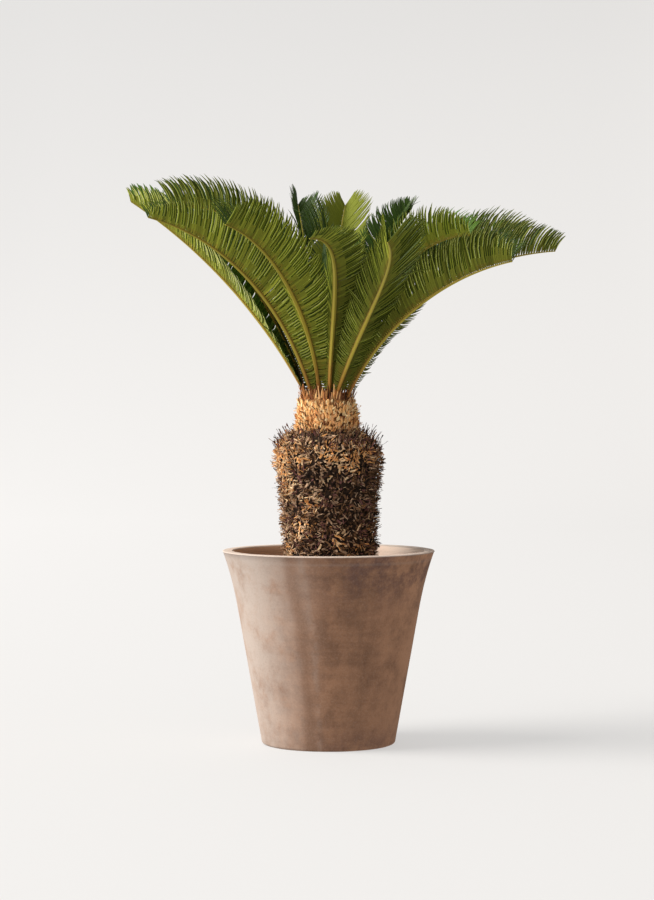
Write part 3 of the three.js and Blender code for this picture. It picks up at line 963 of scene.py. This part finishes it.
class PALM_OT_neck(bpy.types.Operator):
    """Make the new growth: a core, rows of overlapping scales, and the bracts round the fronds' feet"""

    bl_idname = "palm.neck"
    bl_label = "New Growth"

    def execute(self, context):
        trunk = context.scene.palm_trunk
        rng = np.random.default_rng(NECK_SEED)
        low, high = NECK_OUTLINE[0][1] * MM, NECK_HIGH.z
        levels = np.linspace(low, high - 0.002, 14)
        outline = [(float(outline_radius(NECK_OUTLINE, z)) - NECK_INSET, float(z)) for z in levels]
        outline += [(0.030, high + 0.002), (0.012, high + 0.004)]
        piece = turned(64, outline)
        leaned(piece)
        roughened(piece, "VORONOI", 0.008, 0.003)
        core = mottled_finish("wool_core", (0.24, 0.105, 0.040), (0.62, 0.33, 0.13), 140, 0.002)
        finished(piece, "neck_core", ["trunk_neck"], [core])
        self.add_scales(trunk.neck_rows, rng, low, high)
        self.add_strands(trunk.strands, rng, low, high)
        self.add_bracts(trunk.bracts, rng, high)
        return {"FINISHED"}

    def wool(self, name, shape, copies, tones):
        grown(name, ["trunk_neck"], tones_of(NEW_BARK), shape, copies, tones)

    def add_scales(self, rows, rng, low, high):
        """Upright tan scales, each row lapping the one above it."""
        tip = (0.9, 0.5, 0.75, 0.6), (1, 0.2, 0.4, 1.1)
        scale = sprig(6, (0, 0.8, 1, 0), (0.3, 1, 1.2, 0), (0.7, 0.8, 1, 0.2), *tip)
        count = rows * SCALES_AROUND
        row = np.repeat(np.arange(rows), SCALES_AROUND)
        height = low - 0.002 + (high - low - 0.004) * row / rows + rng.normal(0, 0.0022, count)
        place = np.tile(np.arange(SCALES_AROUND), rows) + 0.5 * (row % 2)
        angle = place * 2 * math.pi / SCALES_AROUND + rng.normal(0, 0.035, count)
        surface = outline_radius(NECK_OUTLINE, np.clip(height, low, high))
        places, outward = on_trunk(angle, height, surface - NECK_INSET * rng.uniform(0.3, 0.9, count))
        upper = np.clip((height - low) / (high - low), 0, 1)
        lower = 1 - upper
        untidy = 1 + 1.8 * np.exp(-upper / 0.3)
        growth = outward * rng.uniform(0.0, 0.3, count)[:, None]
        growth = growth + rng.normal(0, 0.10, (count, 3)) * untidy[:, None]
        growth[:, 2] += 1
        width = rng.uniform(1.3, 2.7, count) * MM
        length = rng.uniform(4.5, 9, count) * MM
        copies = planted(scale, places, growth, outward, width, width * 0.45, length, rng, 0.05)
        weights = np.stack([
            0.15 + 1.4 * lower**2,
            0.2 + 0.9 * lower**2,
            0.8 + 0.8 * lower,
            3.0 + 0 * upper,
            3.8 + 1.0 * upper,
            3.2 + 0.4 * upper,
        ], 1)
        self.wool("neck_scales", scale, copies, dealt(rng, weights))

    def add_strands(self, count, rng, low, high):
        """Loose straw and dark fibre, thickest where the neck meets the barrel."""
        strand = sprig(4, (0, 0.8, 1, 0), (0.35, 1, 0.9, 0.5), (0.7, 0.7, 0.7, 1.5), (1, 0.15, 0.3, 3.2))
        upper = rng.random(count) ** 1.7
        lower = 1 - upper
        height = low - 0.003 + (high - low - 0.012) * upper
        angle = rng.uniform(0, 2 * math.pi, count)
        surface = outline_radius(NECK_OUTLINE, np.clip(height, low, high))
        places, outward = on_trunk(angle, height, surface - rng.uniform(0.5, 3.0, count) * MM)
        growth = astray(rng, outward, (0, 0.6), 0.45)
        growth[:, 2] += rng.uniform(0.2, 1.3, count)
        width = rng.uniform(0.45, 1.1, count) * MM
        length = rng.uniform(5, 12, count) * MM
        copies = planted(strand, places, growth, outward, width, width * 0.4, length, rng, 0.05)
        weights = np.stack([
            0.4 + 1.4 * lower,
            0.5 + 1.0 * lower,
            1.0 + 0 * upper,
            2.0 + 0 * upper,
            1.0 + 2.0 * upper,
            1.8 + 0 * upper,
        ], 1)
        self.wool("neck_strands", strand, copies, dealt(rng, weights))

    def add_bracts(self, count, rng, high):
        """Pointed reddish-brown bracts between the fronds, and a few thin dark bristles outside them."""
        bract = sprig(5, (0, 1, 1, 0), (0.4, 0.95, 0.8, 0.02), (0.8, 0.45, 0.5, 0.08), (1, 0.06, 0.2, 0.15))
        bristle = rng.random(count) < BRISTLES

        def ranged(of_bristles, of_bracts):
            return np.where(bristle, rng.uniform(*of_bristles, count), rng.uniform(*of_bracts, count))

        outside = rng.uniform(NECK_TOP, BRISTLES_TO, count)
        radius = np.where(bristle, outside, NECK_TOP * np.sqrt(rng.random(count)))
        angle = rng.uniform(0, 2 * math.pi, count)
        height = high - ranged((0.004, 0.030), (-0.001, 0.005))
        places, outward = on_trunk(angle, height, radius)
        growth = astray(rng, outward, (0.0, 0.35), 0.12)
        growth[:, 2] += 1
        width = ranged((0.4, 0.7), (1.0, 2.0)) * MM
        length = ranged((9, 17), (10, 26)) * MM
        copies = planted(bract, places, growth, outward, width, width * 0.4, length, rng, 0.02)
        weights = np.where(bristle[:, None], [3.0, 2, 0.5, 0, 0, 0], [2.0, 2.8, 3.0, 1.6, 1.0, 0.3])
        self.wool("foot_bracts", bract, copies, dealt(rng, weights))


def rib_pattern(steps):
    """A rib one unit long, up Z: a blunt keel below, flattened above."""
    piece = raised(8, [(0, 0, z, 1, 0.95) for z in np.linspace(0, 1, steps + 1)])
    moved_where(piece, lambda co: co.y > 0.85, (0, -0.45, 0))
    moved_where(piece, lambda co: co.y < -0.85, (0, -0.16, 0))
    return shape_of(piece)


LEAFLET_WIDTHS = [
    (0, 0.5), (0.05, 0.8), (0.12, 0.95), (0.27, 1), (0.52, 0.95), (0.78, 0.74), (0.93, 0.38), (1, 0.05),
]
LEAFLET_DEPTH = 0.26  # the ring's half depth, in half widths
# where the eight corners of a leaflet's section go: a test of x and y, and the step in half depths
LEAFLET_SECTION = [
    (lambda x, y: abs(x) > 0.9, -1.5),
    (lambda x, y: y > 0.9, -1.25),
    (lambda x, y: 0.5 < y < 0.9, -0.45),
    (lambda x, y: y < -0.9, -0.4),
]


def leaflet_pattern():
    """A leaflet one unit long, up Z, and one wide each way: margins rolled down, midrib sunk above."""
    piece = raised(8, [(0, 0, z, wide, LEAFLET_DEPTH * wide) for z, wide in LEAFLET_WIDTHS])
    for z, wide in LEAFLET_WIDTHS:
        deep = LEAFLET_DEPTH * wide
        for test, step in LEAFLET_SECTION:

            def wanted(co):
                unmoved = abs(co.z - z) < 1e-4 and abs(co.y) < 1.01 * deep
                return unmoved and test(co.x / wide, co.y / deep)

            moved_where(piece, wanted, (0, step * deep, 0))
    return shape_of(piece)


LEAF_PARTS = {  # what each part of a leaflet is called in the settings, its roughness and gloss
    "upper": (0.42, 0.14),
    "under": (0.6, 0.06),
    "shade": (0.6, 0.03),
    "margin": (0.5, 0.12),
    "base": (0.6, 0.06),
    "fade": (0.6, 0.06),
}
UPPER, UNDER, SHADE, HIGHLIT_MARGIN, BASE, FADE = range(len(LEAF_PARTS))
LEAF_SHADES = (0.55, 0.8, 1.1, 1.5, 2.1)  # a leaflet's tone against the set colour
SHADE_SPREAD = 0.28
FOOT_TONE = [(0, 0.35), (0.08, 0.5), (0.25, 0.9), (0.4, 1)]  # leaflets are painted darker between the ribs' feet, as painted shade
BROWN_FOOT = 0.14  # and brown to this share of the rib


def leaflet_sides(pattern, tip_side):
    """For each face of a leaflet, the part it is of and which length of the leaflet it is in."""
    sides, lengths = [], []
    ends = [z for z, wide in LEAFLET_WIDTHS]
    for face in pattern.faces:
        middle = pattern.points[list(face)].mean(axis=0)
        wide = np.interp(middle[2], *zip(*LEAFLET_WIDTHS))
        toward_tip = middle[0] * tip_side / wide
        # the underside's half nearer the foot is painted shade, and its margin nearer the tip a painted
        # highlight
        if middle[1] / wide > -0.2:
            sides.append(UPPER)
        elif toward_tip < 0:
            sides.append(SHADE)
        else:
            sides.append(HIGHLIT_MARGIN if toward_tip > 0.6 else UNDER)
        lengths.append(int(np.searchsorted(ends, middle[2])) - 1)
    return np.array(sides), np.array(lengths)


def leaflet_tones(pattern, tip_side, wing, share, rng):
    """A material's number for every face: each leaflet has its own shade and its own golden base."""
    count = len(share)
    sides, lengths = leaflet_sides(pattern, tip_side)
    golden = rng.integers(1, 3, count)[:, None] + 2 * (share < BROWN_FOOT)[:, None]
    fading = golden + rng.integers(1, 3, count)[:, None]
    parts = np.where(lengths < golden, BASE, np.where(lengths < fading, FADE, sides))
    parts = np.where(sides == UPPER, UNDER if wing.young else UPPER, parts)
    # the wing's tone is painted light and shade, and FOOT_TONE paints shade between the ribs' feet
    tone = looked_up(wing.tone, share) * looked_up(FOOT_TONE, share)
    away = np.log(np.array(LEAF_SHADES)[None] / tone[:, None]) / SHADE_SPREAD
    return parts * len(LEAF_SHADES) + dealt(rng, np.exp(-(away**2)))[:, None]


class PALM_OT_fronds(bpy.types.Operator):
    """Make every frond: its rib, and two rows of stiff, narrow leaflets"""

    bl_idname = "palm.fronds"
    bl_label = "Fronds"

    def execute(self, context):
        settings = context.scene.palm_fronds
        rng = np.random.default_rng(FROND_SEED)
        rib = rib_pattern(48)
        leaflet = leaflet_pattern()
        skin = rib_finish()
        greens = self.greens(settings)
        for number, frond in enumerate(FRONDS, start=1):
            label = f"frond_{number:02d}"
            nodes = [label + "_lower", label + "_upper"]
            course = frond_course(frond)
            self.add_rib(label, nodes, course, number, rib, skin)
            self.add_leaflets(label, nodes, number, course, leaflet, settings, greens, rng)
        return {"FINISHED"}

    def greens(self, settings):
        """Five shades for each part of a leaflet."""
        finishes = []
        for part, (roughness, gloss) in LEAF_PARTS.items():
            for number, shade in enumerate(LEAF_SHADES, start=1):
                tint = tuple(min(1.0, channel) for channel in tinted(getattr(settings, part), shade))
                finishes.append(plain(f"leaflet_{part}_{number}", tint, roughness, gloss))
        return finishes

    def add_rib(self, label, nodes, course, number, rib, skin):
        share = rib.points[:, 2]
        half = rib_half(number, share)[:, None]
        points = along_course(course, "point", share)
        points = points + along_course(course, "left", share) * rib.points[:, 0:1] * half
        points = points + along_course(course, "up", share) * rib.points[:, 1:2] * half
        piece = joined(label + "_rib", rib, points[None])
        for name, values in (("along", share), ("across", np.abs(rib.points[:, 0]))):
            attribute = piece.data.attributes.new(name, "FLOAT", "POINT")
            attribute.data.foreach_set("value", values)
        smoothed(piece, 42)
        finished(piece, label + "_rib", nodes, [skin])

    def add_leaflets(self, label, nodes, number, course, leaflet, settings, greens, rng):
        rows, tones = [], []
        for side in (1, -1):
            count = settings.leaflets
            share = np.linspace(FIRST_LEAFLET, LAST_LEAFLET, count) + rng.normal(0, 0.0007, count)
            share = np.clip(share, 0.02, 0.999)
            rows.append(self.row_of_leaflets(number, course, leaflet, side, share, settings, rng))
            tones.append(leaflet_tones(leaflet, -side, wing_of(number, side), share, rng))
        rows, tones = np.concatenate(rows), np.concatenate(tones)
        grown(label + "_leaflets", nodes, greens, leaflet, rows, tones, smooth=30)

    def row_of_leaflets(self, number, course, leaflet, side, share, settings, rng):
        """One wing: leaflets that bow towards the frond's tip, each a little turned like a louvre."""
        count = len(share)
        forward, left, up = (along_course(course, key, share) for key in ("forward", "left", "up"))
        wing = wing_of(number, side)
        lean = np.radians(looked_up(wing.lean, share)) + wavering(rng, share, 0.035, 9)
        lean = (lean + rng.normal(0, 0.011, count))[:, None]
        fold = np.radians(looked_up(wing.fold, share)) + wavering(rng, share, 0.045, 8)
        fold = (fold + rng.normal(0, 0.016, count))[:, None]
        outward = np.cos(fold) * side * left + np.sin(fold) * up
        growth = unit(np.cos(lean) * forward + np.sin(lean) * outward)
        sweep = unit(forward - growth * (forward * growth).sum(axis=1, keepdims=True))
        back = np.cross(growth, sweep)
        back = back * np.sign((back * up).sum(axis=1, keepdims=True))
        across = np.cross(back, growth)
        toward_tip = np.sign((across * forward).sum(axis=1))
        length = leaflet_lengths(number, share) * looked_up(wing.long, share)
        length = length * rng.uniform(0.95, 1.04, count)
        slim = np.minimum(1, length / 0.045 + 0.4)  # short leaflets are narrower
        width = settings.half_width * wing.wide * slim * rng.uniform(0.9, 1.08, count)
        half = rib_half(number, share)[:, None]
        foot = along_course(course, "point", share) + (side * left * 0.6 + up * 0.25) * half
        x, y, z = (leaflet.points[None, :, axis, None] for axis in range(3))
        turn = settings.louvre * wing.louvre * toward_tip + rng.normal(0, 0.06, count)
        turn = turn[:, None, None] + rng.normal(0, 0.16, count)[:, None, None] * z
        flat = x * np.cos(turn) - y * np.sin(turn)
        deep = x * np.sin(turn) + y * np.cos(turn)
        short = np.exp(-((share / 0.3) ** 2))  # near the foot the leaflets' ends hook more
        bow = settings.bow * (1 + wavering(rng, share, 0.25, 6) + rng.normal(0, 0.12, count)) + 0.14 * short
        hook = np.abs(rng.normal(0, 0.05, count)) + 0.10 * short * rng.random(count)
        curl = (rng.random(count) < 0.04 * wing.stray) * rng.uniform(0.1, 0.35, count)
        droop = 0.05 + (wavering(rng, share, 0.03, 6) + rng.normal(0, 0.012, count)) * wing.stray + curl
        reach, wide = length[:, None, None], width[:, None, None]
        bow, hook, droop = (value[:, None, None] for value in (bow, hook, droop))
        return (
            foot[:, None]
            + growth[:, None] * z * reach
            + across[:, None] * flat * wide
            + back[:, None] * deep * wide
            + sweep[:, None] * reach * (bow * (z**2.4 - z) + hook * z**6)
            - back[:, None] * reach * droop * z**3
        )


FLOOR_RADIUS, CURVE, WALL_HEIGHT = 7.0, 3.0, 6.5
# the paper's glow is a little stronger to the left and up the wall: axis, from, to, and its strength there
GLOW_ACROSS = ("X", -1.5, 1.5, 1.07, 0.90)
GLOW_UP = ("Z", 0, 2.4, 0, 0.09)
LIGHT_AT, LIGHT_AIM = (-2.2, -0.35, 2.3), (0, 0, 0.3)
LIGHT_TINT = (1.0, 0.975, 0.94)
AIR_TINT = (1.0, 0.99, 0.985)
CAMERA_AT, CAMERA_AIM = (0, -4.06, 0.5773), (-0.0025, 0, 0.4834)
CAMERA_LENS, CAMERA_SENSOR = 98.6, 36  # mm


class PALM_OT_stage(bpy.types.Operator):
    """Make the plain floor and backdrop, the soft light and the camera"""

    bl_idname = "palm.stage"
    bl_label = "Stage"

    def execute(self, context):
        stage = context.scene.palm_stage
        self.add_backdrop(stage)
        self.add_light(stage)
        self.add_camera()
        return {"FINISHED"}

    def add_backdrop(self, stage):
        """A wide floor that curves up into a wall all round."""
        turns = np.radians(np.linspace(-90, 0, 13))
        curve = [(FLOOR_RADIUS + CURVE * math.cos(turn), CURVE + CURVE * math.sin(turn)) for turn in turns]
        nothing_selected()
        piece = turned(96, [(FLOOR_RADIUS, 0), *curve[1:], (FLOOR_RADIUS + CURVE, WALL_HEIGHT)])
        # the lid comes off, and the paper faces inwards
        lid = WALL_HEIGHT - 0.01
        picked(piece, "FACE", lambda face: face.center.z > lid and abs(face.normal.z) > 0.9)
        bpy.ops.mesh.delete(type="FACE")
        bpy.ops.mesh.select_all(action="SELECT")
        bpy.ops.mesh.flip_normals()
        bpy.ops.object.mode_set(mode="OBJECT")
        smoothed(piece, 60)
        piece.name = "studio_floor"
        paper = Finish("studio_paper", 0.9, 0.1, stage.paper)
        paper.shader.inputs["Emission Color"].default_value = (*stage.glow, 1)
        glow = paper.summed(paper.ramp(*GLOW_ACROSS), paper.ramp(*GLOW_UP))
        paper.tree.links.new(glow, paper.shader.inputs["Emission Strength"])
        piece.data.materials.append(paper.material)
        # the paper takes light and shadow, and doesn't itself light or shade the plant
        piece.visible_diffuse = False
        piece.visible_glossy = False
        piece.visible_shadow = False

    def add_light(self, stage):
        """A wide, soft sun from the left and a little in front, in air that is brighter on the left."""
        light = bpy.data.lights.new("key_light", "SUN")
        light.angle = stage.soft
        light.energy = stage.key
        light.color = LIGHT_TINT
        self.aimed("key_light", light, LIGHT_AT, LIGHT_AIM)
        world = bpy.data.worlds.new("studio_air")
        world.use_nodes = True
        air = Wiring(world, "Generated")
        background = air.tree.nodes["Background"]
        background.inputs["Color"].default_value = (*AIR_TINT, 1)
        strength = air.ramp("X", -1, 1, stage.left_air, stage.right_air)
        air.tree.links.new(strength, background.inputs["Strength"])
        bpy.context.scene.world = world
        bpy.context.scene.view_settings.view_transform = "Standard"

    def add_camera(self):
        camera = bpy.data.cameras.new("camera")
        camera.lens = CAMERA_LENS
        camera.sensor_width = CAMERA_SENSOR
        bpy.context.scene.camera = self.aimed("camera", camera, CAMERA_AT, CAMERA_AIM)

    def aimed(self, name, data, place, aim):
        """A lamp or camera at a place, turned to what it is aimed at."""
        holder = bpy.data.objects.new(name, data)
        bpy.context.collection.objects.link(holder)
        holder.location = place
        holder.rotation_euler = (Vector(aim) - holder.location).to_track_quat("-Z", "Y").to_euler()
        return holder


class VIEW3D_PT_sago_palm(bpy.types.Panel):
    bl_label = "Sago Palm"
    bl_space_type = "VIEW_3D"
    bl_region_type = "UI"
    bl_category = "Sago Palm"

    def draw(self, context):
        for operator in OPERATORS:
            self.layout.operator(operator.bl_idname)


OPERATORS = (PALM_OT_pot, PALM_OT_soil, PALM_OT_barrel, PALM_OT_neck, PALM_OT_fronds, PALM_OT_stage)
SETTINGS = {
    "palm_pot": PotSettings,
    "palm_soil": SoilSettings,
    "palm_trunk": TrunkSettings,
    "palm_fronds": FrondSettings,
    "palm_stage": StageSettings,
}


def register():
    for group in SETTINGS.values():
        bpy.utils.register_class(group)
    for name, group in SETTINGS.items():
        setattr(bpy.types.Scene, name, PointerProperty(type=group))
    for operator in OPERATORS:
        bpy.utils.register_class(operator)
    bpy.utils.register_class(VIEW3D_PT_sago_palm)


def unregister():
    bpy.utils.unregister_class(VIEW3D_PT_sago_palm)
    for operator in reversed(OPERATORS):
        bpy.utils.unregister_class(operator)
    for name in SETTINGS:
        delattr(bpy.types.Scene, name)
    for group in reversed(list(SETTINGS.values())):
        bpy.utils.unregister_class(group)


def main():
    register()
    bpy.ops.palm.pot()
    bpy.ops.palm.soil()
    bpy.ops.palm.barrel()
    bpy.ops.palm.neck()
    bpy.ops.palm.fronds()
    bpy.ops.palm.stage()


if __name__ == "__main__":
    main()
